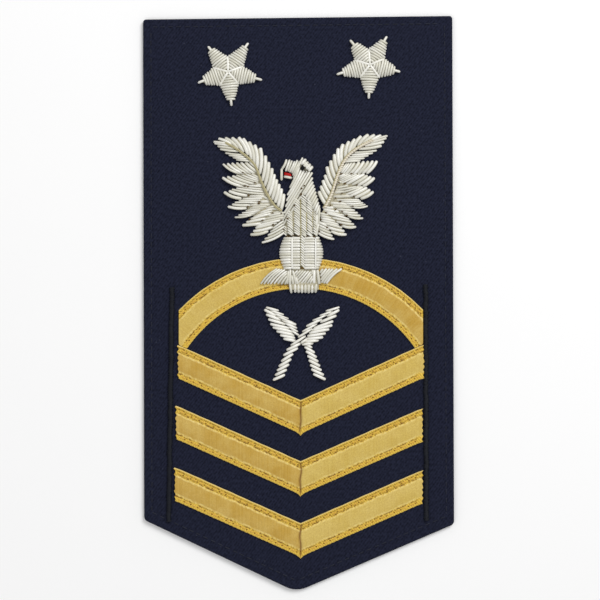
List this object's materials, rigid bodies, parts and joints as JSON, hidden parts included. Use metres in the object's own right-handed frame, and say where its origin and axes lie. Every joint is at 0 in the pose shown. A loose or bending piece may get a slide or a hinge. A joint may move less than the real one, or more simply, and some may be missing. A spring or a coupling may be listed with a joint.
{
  "type": "rank chevron patch",
  "caption": "Pointed navy serge rank patch with gold lace chevrons and rocker, silver bullion stars, spread eagle and crossed quills.",
  "frame": {"origin": "middle of the patch's box in plan, on the surface that its back lies on", "axes": "+Y up the design towards the straight top edge, +X to the viewer's right with the face in view, +Z out of the face"},
  "size_m": [0.105, 0.194, 0.0044],
  "materials": {
    "navy_serge": "matt wool twill",
    "gold_lace": "woven gilt thread with a satin middle",
    "silver_bullion": "coiled silver wire over felt",
    "khaki_cord": "twisted tarnished cord",
    "black_thread": "satin-stitched silk",
    "red_thread": "satin-stitched silk"
  },
  "bodies": {
    "root": {"ground_cloth": "navy_serge", "rocker_lace": "gold_lace", "upper_chevron_lace": "gold_lace", "middle_chevron_lace": "gold_lace", "lower_chevron_lace": "gold_lace", "left_side_bar": "black_thread", "right_side_bar": "black_thread", "left_star": "silver_bullion", "right_star": "silver_bullion", "left_wing": "silver_bullion", "right_wing": "silver_bullion", "left_wing_rib": "khaki_cord", "right_wing_rib": "khaki_cord", "eagle_head": "silver_bullion", "eagle_tongue": "red_thread", "eagle_eye": "black_thread", "eagle_breast": "silver_bullion", "eagle_belly": "silver_bullion", "eagle_left_talon": "silver_bullion", "eagle_right_talon": "silver_bullion", "eagle_perch": "silver_bullion", "eagle_tail": "silver_bullion", "left_quill_vane": "silver_bullion", "left_quill_stem": "silver_bullion", "right_quill": "silver_bullion"}
  },
  "joints": []
}
